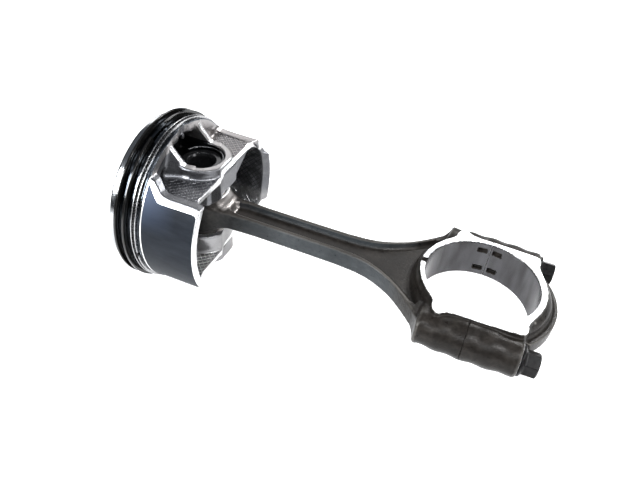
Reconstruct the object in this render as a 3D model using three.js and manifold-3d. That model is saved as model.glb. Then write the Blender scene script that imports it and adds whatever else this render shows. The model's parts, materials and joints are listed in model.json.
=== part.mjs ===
// A piston with its rings, gudgeon pin and circlips, on a connecting rod with a bolted cap.
// Parts are modelled in the pin frame, in millimetres: origin on the pin axis at the rod's mid
// plane, +X towards the crankpin, +Z along the pin, +Y across the rod. The assembly is then
// tilted about Y to lie at rest on z = 0, centred on the origin, big end towards +X.
import * as THREE from 'three';
import Module from 'manifold-3d';
import { mergeVertices } from 'three/addons/utils/BufferGeometryUtils.js';

const wasm = await Module();
wasm.setup();

// ---------- dimensions shared between parts ----------
const ROD_CENTRES = 150; // pin axis to crankpin axis

// Ring grooves, as the x of their two faces
const TOP_GROOVE = [-22.95, -21.65];
const SECOND_GROOVE = [-18.35, -17.05];
const OIL_GROOVE = [-14.3, -11.5];
const RING_CLEARANCE = 0.06; // between a ring and its groove face
const RING_R = 46.1; // compression rings, relaxed

const PIN_R = 11;
const PIN_BORE_R = PIN_R + 0.07; // at the vertices; the facets stay clear of the pin
const CLIP_Z = 28.4; // middle of each circlip and its groove

const EYE_BORE_R = 12.3; // small end bore, which holds the bush

const BIG_FACE_R = 30.2; // big end thrust faces
const BIG_HALF = 10.7; // half the width over the thrust faces
const BOLT_Y = 32.3; // bolt axis to crankpin axis
const BOLT_SEAT_X = 24.6; // bolt seat on the cap, from the crankpin axis

// Facets around each kind of round
const BODY_SEGMENTS = 64;
const PIN_SEGMENTS = 44;
const BIG_BORE_SEGMENTS = 72;
const BIG_FACE_SEGMENTS = 64;
const BOLT_BOSS_SEGMENTS = 28;
const BOLT_HOLE_SEGMENTS = 20;
const BOLT_SEGMENTS = 24;
const RELIEF_SEGMENTS = 24;

// ---------- solids ----------
const Z_TO_X = new THREE.Matrix4().set(0, 0, 1, 0, 1, 0, 0, 0, 0, 1, 0, 0, 0, 0, 0, 1);
const Y_TO_X = Z_TO_X.clone().transpose();
const Y_TO_Z = Z_TO_X;

function solid(shape) {
  shape.deleteAttribute('normal');
  shape.deleteAttribute('uv');
  const merged = mergeVertices(shape, 1e-4);
  return new wasm.Manifold(new wasm.Mesh({
    numProp: 3,
    vertProperties: new Float32Array(merged.attributes.position.array),
    triVerts: new Uint32Array(merged.index.array),
  }));
}

function geometryOf(body) {
  const mesh = body.getMesh();
  const geometry = new THREE.BufferGeometry();
  const positions = new Float32Array(mesh.vertProperties);
  geometry.setAttribute('position', new THREE.BufferAttribute(positions, 3));
  geometry.setIndex(new THREE.BufferAttribute(new Uint32Array(mesh.triVerts), 1));
  return geometry;
}

// Profiles are [distance along the axis, radius], closed on the axis or on themselves.
function lathe(profile, segments) {
  const points = profile.map(([along, radius]) => new THREE.Vector2(radius, along));
  return new THREE.LatheGeometry(points, segments);
}

const turnedX = (profile, segments = BODY_SEGMENTS) =>
  solid(lathe(profile, segments).applyMatrix4(Y_TO_X));

const turnedZ = (profile, segments = PIN_SEGMENTS) =>
  solid(lathe(profile, segments).applyMatrix4(Y_TO_Z));

const cylinderProfile = (from, to, radius) => [[from, 0], [from, radius], [to, radius], [to, 0]];

const tubeProfile = (from, to, outerR, innerR) =>
  [[from, innerR], [from, outerR], [to, outerR], [to, innerR], [from, innerR]];

const cylinderX = (from, to, radius, segments) =>
  turnedX(cylinderProfile(from, to, radius), segments);

const cylinderZ = (from, to, radius, segments) =>
  turnedZ(cylinderProfile(from, to, radius), segments);

function extruded(outline, depth) {
  const shape = new THREE.Shape(outline.map(([across, up]) => new THREE.Vector2(across, up)));
  return new THREE.ExtrudeGeometry(shape, { depth, bevelEnabled: false });
}

// Outline of [y, z]
const plateX = (outline, from, to) =>
  solid(extruded(outline, to - from).applyMatrix4(Z_TO_X).translate(from, 0, 0));

// Outline of [x, z]
function plateY(outline, from, to) {
  const stand = new THREE.Matrix4().set(1, 0, 0, 0, 0, 0, -1, to, 0, 1, 0, 0, 0, 0, 0, 1);
  return solid(extruded(outline, to - from).applyMatrix4(stand));
}

// Outline of [x, y]
const plateZ = (outline, from, to) =>
  solid(extruded(outline, to - from).translate(0, 0, from));

function block([xFrom, xTo], [yFrom, yTo], [zFrom, zTo]) {
  const box = new THREE.BoxGeometry(xTo - xFrom, yTo - yFrom, zTo - zFrom);
  box.translate((xFrom + xTo) / 2, (yFrom + yTo) / 2, (zFrom + zTo) / 2);
  return solid(box);
}

const centred = (half) => [-half, half];

// Closes half an outline with its reflection in the X axis.
const symmetric = (half) => [...half, ...half.map(([x, across]) => [x, -across]).reverse()];

// A body together with its mirror image at the other end of the pin, or across the rod
const bothEnds = (body) => body.add(body.mirror([0, 0, 1]));
const bothSides = (body) => body.add(body.mirror([0, 1, 0]));

const toCrankpin = (body) => body.translate([ROD_CENTRES, 0, 0]);

// ---------- piston ----------
const CROWN_X = -28; // crown face
const LAND_R = 43.4; // ring lands
const TOP_LAND_R = LAND_R - 0.3;
const GROOVE_R = 39.6; // ring groove roots
const BELT_X = -9.7; // underside of the ring belt

const SKIRT_R = 43.8;
const SKIRT_TOP_X = BELT_X - 1.2; // skirts start inside the belt
const SKIRT_TOP_T = 3.6; // skirt wall at the top
const SKIRT_T = 3.4; // and at the lower rim
const SKIRT_X = 20.4; // lower rim, -Y side
const SKIRT_FAR_X = 19.8; // lower rim, +Y side, which is cut away at its corners
const SKIRT_HALF = 26; // half width of a skirt panel
const SKIRT_Y = [18, 50]; // span that holds a panel

const WALL_X = 14.8; // lower rim of the box walls, -Y side
const WALL_FAR_X = 11.4; // and +Y side
const WALL_TOP_X = -23;
const WALL_Z = 25; // outside of the box walls
const WALL_T = 3.4;

const BOSS_R = 15.6;
const BOSS_Z = 30.4; // outer face
const BOSS_IN = 11.6; // inner face
const BOSS_FOOT_X = 14.2; // flat underside of the round part
const BOSS_BLOCK_X = 13; // underside of the square inner part
const BOSS_BLOCK_Z = 22; // outer end of the square part
const BOSS_HALF = 14.6; // half width of the square part and legs
const LEG_TOP_X = -22;
const LEG_TOP_Z = 39.6; // outside of a leg at the belt

const POCKET_R = 38.6; // outer limit of the pocket between the legs
const POCKET_TOP_X = -19.5;
const POCKET_Z = [23.5, 60];
const CLIP_GROOVE_R = 12.1;
const CLIP_GROOVE_W = 1.9;

const RELIEF_R = 13.5; // valve reliefs
const RELIEF_DEPTH = 1.3;
const RELIEF_CENTRES = [[20, 19], [20, -19], [-20, 17], [-20, -17]]; // [y, z]

// [x, radius], from the crown down
const BELT_PROFILE = [
  [CROWN_X, 0], [CROWN_X, LAND_R - 0.9], [CROWN_X + 0.6, TOP_LAND_R],
  [TOP_GROOVE[0], TOP_LAND_R], [TOP_GROOVE[0], GROOVE_R],
  [TOP_GROOVE[1], GROOVE_R], [TOP_GROOVE[1], LAND_R],
  [SECOND_GROOVE[0], LAND_R], [SECOND_GROOVE[0], GROOVE_R],
  [SECOND_GROOVE[1], GROOVE_R], [SECOND_GROOVE[1], LAND_R],
  [OIL_GROOVE[0], LAND_R], [OIL_GROOVE[0], GROOVE_R],
  [OIL_GROOVE[1], GROOVE_R], [OIL_GROOVE[1], LAND_R + 0.3],
  [BELT_X, SKIRT_R], [BELT_X, 0],
];

// Hollow under the crown, [x, radius]
const HOLLOW_PROFILE = [
  [-21.5, 0], [-21.5, 26], [-19.5, 32], [-15, 35.2], [BELT_X + 1, 36], [BELT_X + 1, 0],
];

// Skirt tube, [x, radius]
const SKIRT_PROFILE = [
  [SKIRT_TOP_X, SKIRT_R - SKIRT_TOP_T], [SKIRT_TOP_X, SKIRT_R - 0.2], [BELT_X, SKIRT_R],
  [SKIRT_X - 0.9, SKIRT_R], [SKIRT_X, SKIRT_R - 0.7], [SKIRT_X, SKIRT_R - SKIRT_T],
  [SKIRT_TOP_X, SKIRT_R - SKIRT_TOP_T],
];

// Skirt panel edges, [x, half width]: a flare common to both, then each side's own edge
const SKIRT_FLARE = [[BELT_X - 1.3, 32.2], [-6.5, 31.2], [-4, 29], [-1.6, 27.2]];
const NEAR_EDGE = [
  ...SKIRT_FLARE,
  [1.5, 26.2], [4, SKIRT_HALF], [16.5, SKIRT_HALF], [SKIRT_X + 1, SKIRT_HALF - 1.2],
];
const FAR_EDGE = [
  ...SKIRT_FLARE,
  [1.5, 25.8], [4, 25.2], [14.4, 25], [14.8, 19.5], [16.6, 16.2], [SKIRT_FAR_X, 15.2],
];

// Box wall, [x, y]
const WALL_OUTLINE = [
  [WALL_TOP_X, -40], [WALL_TOP_X, 40], [14.4, 40], [14.2, 36.4], [12.2, 32.8],
  [WALL_FAR_X, 29.5], [WALL_FAR_X, 5], [WALL_X, -6], [WALL_X, -27], [WALL_X + 1.2, -30.5],
  [SKIRT_X - 2.2, -36], [SKIRT_X - 2, -40],
];

// Boss leg, [x, z]: its outer face leans out from the boss face to the belt edge
const LEG_OUTLINE = [
  [LEG_TOP_X, BOSS_IN], [0, BOSS_IN], [0, BOSS_Z], [-1.5, BOSS_Z],
  [BELT_X - 0.4, LEG_TOP_Z], [LEG_TOP_X, LEG_TOP_Z],
];

function makeSkirts() {
  const [inside, outside] = SKIRT_Y;
  const near = plateY(symmetric(NEAR_EDGE), -outside, -inside);
  const far = plateY(symmetric(FAR_EDGE), inside, outside);
  return turnedX(SKIRT_PROFILE).intersect(near.add(far));
}

// The boss at the +Z end
function makeBoss(envelope) {
  const footCut = block([BOSS_FOOT_X, 30], centred(30), centred(60));
  const innerCut = block([BOSS_BLOCK_X, 30], centred(30), [BOSS_IN - 1, BOSS_BLOCK_Z]);
  const square = block([0, BOSS_BLOCK_X], centred(BOSS_HALF), [BOSS_IN, BOSS_BLOCK_Z]);
  const leg = plateY(LEG_OUTLINE, -BOSS_HALF, BOSS_HALF).intersect(envelope);
  return cylinderZ(BOSS_IN, BOSS_Z, BOSS_R)
    .subtract(footCut)
    .subtract(innerCut)
    .add(square)
    .add(leg);
}

function makePiston() {
  let body = turnedX(BELT_PROFILE).subtract(turnedX(HOLLOW_PROFILE)).add(makeSkirts());

  // Limits of the walls and legs, within the belt and within the skirts
  const envelope = cylinderX(-27, BELT_X, 36.5)
    .add(cylinderX(BELT_X - 0.6, 30, SKIRT_R - 1.2));
  const wall = plateZ(WALL_OUTLINE, WALL_Z - WALL_T, WALL_Z).intersect(envelope);
  body = body.add(bothEnds(wall)).add(bothEnds(makeBoss(envelope)));

  // Relief between the legs, open to the pin bore, and the pocket above it in the belt
  const relief = block([BELT_X, 0], centred(PIN_BORE_R), POCKET_Z);
  const pocket = block([POCKET_TOP_X, BELT_X + 0.5], centred(PIN_BORE_R), POCKET_Z)
    .intersect(cylinderX(-20, 1, POCKET_R));
  body = body.subtract(bothEnds(relief.add(pocket)));

  // Narrow rib on the inside of the belt
  const rib = block([-20.5, BELT_X - 0.3], centred(0.8), [36.9, 39.2]);
  body = body.add(bothEnds(rib));

  // Circlip grooves, mouth chamfers and the bore
  const groove = cylinderZ(CLIP_Z - CLIP_GROOVE_W / 2, CLIP_Z + CLIP_GROOVE_W / 2, CLIP_GROOVE_R);
  const chamfer = turnedZ([
    [BOSS_Z - 0.9, 0], [BOSS_Z - 0.9, PIN_BORE_R - 0.1],
    [BOSS_Z + 0.5, PIN_BORE_R + 1.3], [BOSS_Z + 0.5, 0],
  ]);
  body = body
    .subtract(bothEnds(groove))
    .subtract(bothEnds(chamfer))
    .subtract(cylinderZ(-60, 60, PIN_BORE_R));

  // Shallow valve reliefs in the crown, either side of a flat centre
  for (const [y, z] of RELIEF_CENTRES) {
    const valve = cylinderX(CROWN_X - 2, CROWN_X + RELIEF_DEPTH, RELIEF_R, RELIEF_SEGMENTS);
    body = body.subtract(valve.translate([0, y, z]));
  }
  return body;
}

// ---------- rings ----------
const RING_T = 3.2; // radial thickness of the compression rings
const RING_GAP = 12.2;
const RAIL_R = 44.7; // oil ring rails
const RAIL_T = 2.6;
const RAIL_W = 0.56; // along X
const RAIL_GAP = 3;
const RAIL_TOP_X = OIL_GROOVE[0] + RING_CLEARANCE;
const RAIL_BOTTOM_X = OIL_GROOVE[1] - RING_CLEARANCE;
const EXPANDER_INSET = 0.7; // from the groove faces, and from the rail edge

// Rectangular section; the gap is centred on an angle in degrees from +Z towards +Y.
function makeRing({ from, to, outerR, thickness, gap, gapAngle }) {
  const innerR = outerR - thickness;
  const middle = (outerR + innerR) / 2;
  const cut = block([from - 1, to + 1], centred(gap / 2), [middle - 6, middle + 6]);
  return turnedX(tubeProfile(from, to, outerR, innerR)).subtract(cut.rotate([-gapAngle, 0, 0]));
}

const makeCompressionRing = (groove, gapAngle) => makeRing({
  from: groove[0] + RING_CLEARANCE,
  to: groove[1] - RING_CLEARANCE,
  outerR: RING_R,
  thickness: RING_T,
  gap: RING_GAP,
  gapAngle,
});

const makeRail = (from, gapAngle) => makeRing({
  from, to: from + RAIL_W, outerR: RAIL_R, thickness: RAIL_T, gap: RAIL_GAP, gapAngle,
});

const makeExpander = () => makeRing({
  from: OIL_GROOVE[0] + EXPANDER_INSET,
  to: OIL_GROOVE[1] - EXPANDER_INSET,
  outerR: RAIL_R - EXPANDER_INSET,
  thickness: 2.5,
  gap: 1.2,
  gapAngle: -160,
});

// ---------- pin, circlips and bush ----------
const PIN_INNER_R = 6.6;
const PIN_MOUTH_R = PIN_INNER_R + 0.8;
const PIN_HALF = 27.2;
const PIN_CHAMFER = 0.6;
const PIN_MOUTH_DEPTH = 1.6;
const CLIP_R = 10.95; // centreline of the wire
const CLIP_WIRE_R = 0.72;
const CLIP_HALF_GAP = 18; // degrees, either side of -X
const CLIP_POINTS = 30;
const BUSH_R = EYE_BORE_R - 0.06;
const BUSH_HALF = 10.6;

const makePin = () => turnedZ([
  [-PIN_HALF, PIN_MOUTH_R], [-PIN_HALF, PIN_R - PIN_CHAMFER],
  [-PIN_HALF + PIN_CHAMFER, PIN_R], [PIN_HALF - PIN_CHAMFER, PIN_R],
  [PIN_HALF, PIN_R - PIN_CHAMFER], [PIN_HALF, PIN_MOUTH_R],
  [PIN_HALF - PIN_MOUTH_DEPTH, PIN_INNER_R], [-PIN_HALF + PIN_MOUTH_DEPTH, PIN_INNER_R],
  [-PIN_HALF, PIN_MOUTH_R],
]);

// Round wire bent to an open circle
function makeCirclip(z) {
  const start = THREE.MathUtils.degToRad(CLIP_HALF_GAP);
  const sweep = THREE.MathUtils.degToRad(360 - 2 * CLIP_HALF_GAP);
  const points = [];
  for (let i = 0; i <= CLIP_POINTS; i++) {
    const angle = Math.PI + start + sweep * i / CLIP_POINTS;
    points.push(new THREE.Vector3(Math.cos(angle) * CLIP_R, Math.sin(angle) * CLIP_R, z));
  }
  const section = new THREE.Shape();
  section.absarc(0, 0, CLIP_WIRE_R, 0, Math.PI * 2);
  return solid(new THREE.ExtrudeGeometry(section, {
    steps: 26,
    extrudePath: new THREE.CatmullRomCurve3(points),
    curveSegments: 3,
    bevelEnabled: false,
  }));
}

const makeBush = () => turnedZ(tubeProfile(-BUSH_HALF, BUSH_HALF, BUSH_R, PIN_BORE_R));

// ---------- big end, shared by rod and cap, with x from the crankpin axis ----------
const BIG_BORE_R = 27;
const HALF_SPLIT = 0.02; // half the gap between rod and cap
const BOLT_BOSS_R = 8.6;
const BOLT_BOSS_HALF = 8; // flats just under the thrust faces
const BOLT_FILL_HALF = BOLT_BOSS_HALF - 0.6;
const BOLT_BOSS_TOP_X = -21.5;

// Ears along the bolts, [x, half width]
const EARS = [
  [-18.5, 24], [-17.5, 31.5], [-15, 32.4], [-10, 29.6], [21, 28.8], [24, 26.8], [24.4, 21],
];

// Full-width collar with ears; its end faces are the thrust faces.
function makeCollar(from, to) {
  return cylinderZ(-BIG_HALF, BIG_HALF, BIG_FACE_R, BIG_FACE_SEGMENTS)
    .add(plateZ(symmetric(EARS), -BIG_HALF, BIG_HALF))
    .intersect(block([from, to], centred(60), centred(30)));
}

const boltCylinders = (from, to, radius, segments) =>
  bothSides(cylinderX(from, to, radius, segments).translate([0, BOLT_Y, 0]));

function makeBoltBosses(from, to) {
  const flats = block([from - 1, to + 1], centred(60), centred(BOLT_BOSS_HALF));
  const fill = block([from, to], [18, BOLT_Y], centred(BOLT_FILL_HALF));
  return boltCylinders(from, to, BOLT_BOSS_R, BOLT_BOSS_SEGMENTS)
    .intersect(flats)
    .add(bothSides(fill));
}

const bigBore = () => cylinderZ(-20, 20, BIG_BORE_R, BIG_BORE_SEGMENTS);

// Two slots in the +Y side of the bore
const tangSlots = (from, to) =>
  bothEnds(block([from, to], [BIG_BORE_R - 3, BIG_BORE_R + 1.5], [4, 7.2]));

// ---------- connecting rod ----------
const EYE_R = 14.6;
const EYE_HALF = 10.9;
const BEAM_HALF = 5; // half thickness of the shank
const WEB_HALF = 1.5; // and of the web between its channels

// Shank and shoulders from the eye to the bolt boss, then into the collar: [x, half width]
const SHANK = [
  [6, 11.2], [13, 9.6], [20, 8.2], [35, 7.5], [65, 7.6], [80, 7.8],
  [90, 8.6], [96, 9.8], [100, 11.2], [105, 13.6], [110, 16.5], [114, 19.6],
  [118, 23.2], [122, 27.2], [125, 30.4], [128.4, 35.2],
  [ROD_CENTRES - 20.5, 37.5], [ROD_CENTRES - 14, 30],
];

// Channel in each face of the shank, [x, half width]
const CHANNEL = [
  [19.2, 3.2], [23, 4.9], [60, 5], [80, 5.2], [90, 5.8],
  [97, 7.6], [103, 10.2], [110, 13.9], [116, 18.4], [121, 22.8],
  [124.5, 24.6], [125.4, 21], [122, 15], [120, 9], [119.2, 3],
];

function makeRod() {
  const shank = plateZ(symmetric(SHANK), -BEAM_HALF, BEAM_HALF)
    .subtract(bothEnds(plateZ(symmetric(CHANNEL), WEB_HALF, 20)));
  const bigEnd = makeCollar(-60, -HALF_SPLIT).add(makeBoltBosses(BOLT_BOSS_TOP_X, -HALF_SPLIT));
  const tappedHoles = boltCylinders(-19, 1, 4.25, BOLT_HOLE_SEGMENTS);
  const oilNotches = bothEnds(block([-33, -20], centred(1.9), [BIG_HALF - 0.9, BIG_HALF + 1]));
  return shank
    .add(cylinderZ(-EYE_HALF, EYE_HALF, EYE_R))
    .add(toCrankpin(bigEnd))
    .subtract(toCrankpin(bigBore()))
    .subtract(cylinderZ(-20, 20, EYE_BORE_R))
    .subtract(toCrankpin(tappedHoles))
    .subtract(toCrankpin(oilNotches))
    .subtract(toCrankpin(tangSlots(-6.2, -1.2)));
}

// ---------- big end cap ----------
// Plate round the outside of the cap, from an arc in to a straight foot
function makeStrap({ radius, halfAngle, steps, footHalf, halfThickness }) {
  const outline = [];
  for (let i = 0; i <= steps; i++) {
    const angle = THREE.MathUtils.degToRad(-halfAngle + 2 * halfAngle * i / steps);
    outline.push([radius * Math.cos(angle), radius * Math.sin(angle)]);
  }
  outline.push([5, footHalf], [5, -footHalf]);
  return plateZ(outline, -halfThickness, halfThickness);
}

function makeCap() {
  const strap = makeStrap({
    radius: 33.4, halfAngle: 62, steps: 24, footHalf: 24, halfThickness: 7.6,
  });
  const stiffener = makeStrap({
    radius: 36.9, halfAngle: 46, steps: 20, footHalf: 22, halfThickness: 3.6,
  });
  const seats = boltCylinders(BOLT_SEAT_X, BOLT_SEAT_X + 20, 7.9, BOLT_BOSS_SEGMENTS);
  const boltHoles = boltCylinders(-1, 60, 4.4, BOLT_HOLE_SEGMENTS);
  const cap = makeCollar(HALF_SPLIT, 60)
    .add(makeBoltBosses(HALF_SPLIT, BOLT_SEAT_X))
    .add(strap)
    .add(stiffener)
    .subtract(seats)
    .subtract(boltHoles)
    .subtract(bigBore())
    .subtract(tangSlots(1.2, 6.2));
  return toCrankpin(cap);
}

// ---------- cap bolts ----------
const BOLT_TIP_X = -18.4; // from the crankpin axis
const BOLT_R = 4;
const FLANGE_X = BOLT_SEAT_X + 0.05; // underside of the flange
const FLANGE_R = 7.2;
const FLANGE_TOP_X = FLANGE_X + 2.3;
const HEX_R = 5.9; // over the corners
const HEAD_TOP_X = FLANGE_X + 8.1;

function makeBolt(side) {
  const shankAndFlange = turnedX([
    [BOLT_TIP_X, 0], [BOLT_TIP_X, 3.3], [BOLT_TIP_X + 0.8, BOLT_R], [FLANGE_X, BOLT_R],
    [FLANGE_X, FLANGE_R], [FLANGE_X + 1.2, FLANGE_R], [FLANGE_TOP_X, HEX_R], [FLANGE_TOP_X, 0],
  ], BOLT_SEGMENTS);
  const corners = [];
  for (let i = 0; i < 6; i++) {
    const angle = THREE.MathUtils.degToRad(i * 60 + 30);
    corners.push([HEX_R * Math.cos(angle), HEX_R * Math.sin(angle)]);
  }
  // Chamfers the corners at the top of the head
  const headLimit = turnedX([
    [FLANGE_X, 0], [FLANGE_X, 6.1], [HEAD_TOP_X - 0.5, 6.1], [HEAD_TOP_X, 5.2], [HEAD_TOP_X, 0],
  ], BOLT_SEGMENTS);
  const head = plateX(corners, FLANGE_X + 1.9, HEAD_TOP_X).intersect(headLimit);
  return toCrankpin(shankAndFlange.add(head)).translate([0, side * BOLT_Y, 0]);
}

// ---------- assembly ----------
const METALS = {
  casting: { color: 0xa3a5a8, roughness: 0.42, metalness: 0.95 },
  ring: { color: 0x17171a, roughness: 0.3, metalness: 0.9 },
  rail: { color: 0x3a3b3e, roughness: 0.32, metalness: 0.95 },
  expander: { color: 0x8d8f93, roughness: 0.4, metalness: 0.95 },
  pin: { color: 0xb9bbc0, roughness: 0.18, metalness: 1 },
  clip: { color: 0x6c6e72, roughness: 0.35, metalness: 0.95 },
  bush: { color: 0xa87c4a, roughness: 0.4, metalness: 0.95 },
  forging: { color: 0x3b3733, roughness: 0.48, metalness: 0.85 },
  bolt: { color: 0x131313, roughness: 0.42, metalness: 0.75 },
};

// [mesh name, solid, metal]
const PIECES = [
  ['piston', makePiston(), 'casting'],
  ['top_compression_ring', makeCompressionRing(TOP_GROOVE, 150), 'ring'],
  ['second_compression_ring', makeCompressionRing(SECOND_GROOVE, -12.5), 'ring'],
  ['oil_rail_upper', makeRail(RAIL_TOP_X, 80), 'rail'],
  ['oil_ring_expander', makeExpander(), 'expander'],
  ['oil_rail_lower', makeRail(RAIL_BOTTOM_X - RAIL_W, -100), 'rail'],
  ['gudgeon_pin', makePin(), 'pin'],
  ['circlip_front', makeCirclip(CLIP_Z), 'clip'],
  ['circlip_rear', makeCirclip(-CLIP_Z), 'clip'],
  ['small_end_bush', makeBush(), 'bush'],
  ['connecting_rod', makeRod(), 'forging'],
  ['big_end_cap', makeCap(), 'forging'],
  ['cap_bolt_near', makeBolt(-1), 'bolt'],
  ['cap_bolt_far', makeBolt(1), 'bolt'],
];

// At rest, the second ring and the cap's thrust face touch the ground.
const RING_CONTACT_X = SECOND_GROOVE[1] - RING_CLEARANCE;
const TILT = Math.atan((RING_R - BIG_HALF) / (ROD_CENTRES + BIG_FACE_R - RING_CONTACT_X));
const lay = new THREE.Matrix4().makeRotationY(TILT);

const model = new THREE.Group();
model.name = 'piston_and_rod';
const bounds = new THREE.Box3();
for (const [name, body, metal] of PIECES) {
  const geometry = geometryOf(body).applyMatrix4(lay);
  geometry.computeBoundingBox();
  bounds.union(geometry.boundingBox);
  const mesh = new THREE.Mesh(geometry, new THREE.MeshStandardMaterial(METALS[metal]));
  mesh.name = name;
  model.add(mesh);
}

const middle = bounds.getCenter(new THREE.Vector3());
for (const { geometry } of model.children) {
  geometry.translate(-middle.x, -middle.y, -bounds.min.z);
  geometry.computeVertexNormals();
}

export default model;
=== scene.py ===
# An engine piston with its rings, gudgeon pin, circlips, connecting rod, big-end cap and bolts.
#
# Shapes are built in millimetres in the pin frame: origin on the pin axis, +X towards the
# crankpin and +Z along the pin. The crown is on the -X side. "Lower" means towards +X,
# "near" is -Y, "far" is +Y, "front" is +Z and "rear" is -Z.
import bpy
import json
import math
from types import SimpleNamespace

import numpy as np
from mathutils import Matrix, Vector


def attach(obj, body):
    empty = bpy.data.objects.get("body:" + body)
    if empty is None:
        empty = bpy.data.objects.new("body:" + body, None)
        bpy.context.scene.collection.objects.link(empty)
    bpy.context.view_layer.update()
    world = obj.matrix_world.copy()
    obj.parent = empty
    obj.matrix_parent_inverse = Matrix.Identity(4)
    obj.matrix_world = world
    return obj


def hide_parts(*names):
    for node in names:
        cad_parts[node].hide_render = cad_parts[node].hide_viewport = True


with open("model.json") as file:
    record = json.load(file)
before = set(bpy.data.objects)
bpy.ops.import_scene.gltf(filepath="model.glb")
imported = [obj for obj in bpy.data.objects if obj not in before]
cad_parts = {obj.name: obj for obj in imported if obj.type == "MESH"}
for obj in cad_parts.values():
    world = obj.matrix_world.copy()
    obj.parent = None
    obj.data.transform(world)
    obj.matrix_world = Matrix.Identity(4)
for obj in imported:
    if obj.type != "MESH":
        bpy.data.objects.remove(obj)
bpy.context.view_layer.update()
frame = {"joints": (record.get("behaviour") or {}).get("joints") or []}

# ------------------------------------------------------------------ pin frame
swing = next(j for j in frame["joints"] if j["name"] == "rod_swing")
turn = math.atan2(swing["axis"][0], swing["axis"][2])
PIN_TO_MODEL = np.array([
    [math.cos(turn), 0, math.sin(turn)],
    [0, 1, 0],
    [-math.sin(turn), 0, math.cos(turn)],
])
PIN_CENTRE = np.array(swing["pos_m"])


def to_model(points):
    """Pin-frame millimetres to model metres."""
    return (np.asarray(points, float) * 0.001) @ PIN_TO_MODEL.T + PIN_CENTRE


# ------------------------------------------------------------------ shared dimensions, mm
CRANK_X = 150.0          # pin axis to crankpin axis
PIN_BORE_R = 11.07       # in the piston and the bush
BELT_X = -9.7            # lower edge of the ring belt
SKIRT_INNER_R = 40.4
BOLT_Y = 32.3            # bolt axes, either side of the crankpin
TOP_GROOVE = (-22.95, -21.65)     # x from, to
SECOND_GROOVE = (-18.35, -17.05)
OIL_GROOVE = (-14.3, -11.5)


# ------------------------------------------------------------------ distance functions
# A solid is a function that is negative inside it. A blend is the width of a rounded joint.
def join(a, b, blend):
    h = np.maximum(blend - np.abs(a - b), 0) / blend
    return np.minimum(a, b) - h * h * (blend * 0.25)


def common(a, b, blend):
    return -join(-a, -b, blend)


def cut(body, tool, blend):
    return common(body, -tool, blend)


def radial(a, b):
    return np.sqrt(a * a + b * b)


def band(value, centre, half):
    return np.abs(value - centre) - half


def between(value, low, high):
    return np.maximum(low - value, value - high)


def bevel(wall, face, size):
    """45 degree cutter for the corner of a bore wall and the face it opens in."""
    return (wall - size + face) * 0.7071


def polygon(px, py, points):
    """Signed distance to a closed outline."""
    nearest = sign = None
    for i in range(len(points)):
        ax, ay = points[i]
        bx, by = points[i - 1]
        ex, ey = bx - ax, by - ay
        wx, wy = px - ax, py - ay
        t = np.clip((wx * ex + wy * ey) * (1.0 / (ex * ex + ey * ey)), 0, 1)
        qx, qy = wx - ex * t, wy - ey * t
        square = qx * qx + qy * qy
        nearest = square if nearest is None else np.minimum(nearest, square)
        above, below, left = py >= ay, py < by, ex * wy > ey * wx
        flip = (above & below & left) | (~above & ~below & ~left)
        sign = np.where(flip, -1.0, 1.0) if sign is None else np.where(flip, -sign, sign)
    return (sign * np.sqrt(nearest)).astype(px.dtype)


# ------------------------------------------------------------------ meshing
GRADIENT_STEP = 0.03     # mm
PROJECT_ROUNDS = 6
MAX_MOVE = 0.35          # mm, longest move in one round


def spaced(*spans):
    """Grid lines: (start, stop, step) spans joined end to end."""
    lines = []
    for start, stop, step in spans:
        count = max(1, int(round((stop - start) / step)))
        lines += list(np.linspace(start, stop, count, endpoint=False))
    lines.append(spans[-1][1])
    return np.array(lines, np.float32)


def net_vertices(values, inside, grid):
    """One vertex per cell the surface crosses, at the mean of its edge crossings."""
    nx, ny, nz = values.shape
    corners = sum(inside[a:nx - 1 + a, b:ny - 1 + b, c:nz - 1 + c].astype(np.int8)
                  for a in (0, 1) for b in (0, 1) for c in (0, 1))
    active = (corners > 0) & (corners < 8)
    cells = np.argwhere(active)
    ids = np.full(active.shape, -1, np.int32)
    ids[active] = np.arange(len(cells))
    lines = [g.astype(float) for g in grid]
    total, count = np.zeros((len(cells), 3)), np.zeros(len(cells))
    for axis in range(3):
        others = [k for k in range(3) if k != axis]
        for a in (0, 1):
            for b in (0, 1):
                start = cells.copy()
                start[:, others[0]] += a
                start[:, others[1]] += b
                end = start.copy()
                end[:, axis] += 1
                va = values[tuple(start.T)].astype(float)
                vb = values[tuple(end.T)].astype(float)
                crossed = (va < 0) != (vb < 0)
                t = np.where(crossed, va / np.where(crossed, va - vb, 1), 0)
                point = np.stack([lines[k][start[:, k]] for k in range(3)], 1)
                point[:, axis] += t * (lines[axis][end[:, axis]] - lines[axis][start[:, axis]])
                total[crossed] += point[crossed]
                count[crossed] += 1
    return total / count[:, None], ids


def net_quads(inside, ids):
    """One quad per grid edge the surface crosses, joining the four cells round it."""
    quads = []
    for axis in range(3):
        u, v = (axis + 1) % 3, (axis + 2) % 3
        low, high = [slice(None)] * 3, [slice(None)] * 3
        low[axis], high[axis] = slice(0, -1), slice(1, None)
        first, second = inside[tuple(low)], inside[tuple(high)]
        edges = np.argwhere(first != second)
        for side in (u, v):
            edges = edges[(edges[:, side] >= 1) & (edges[:, side] < inside.shape[side] - 1)]
        corners = []
        for du, dv in ((1, 1), (0, 1), (0, 0), (1, 0)):
            cell = edges.copy()
            cell[:, u] -= du
            cell[:, v] -= dv
            corners.append(ids[tuple(cell.T)])
        quad = np.stack(corners, 1)
        starts_inside = first[tuple(edges.T)]
        quad[~starts_inside] = quad[~starts_inside][:, ::-1]
        quads.append(quad)
    return np.concatenate(quads)


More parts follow.
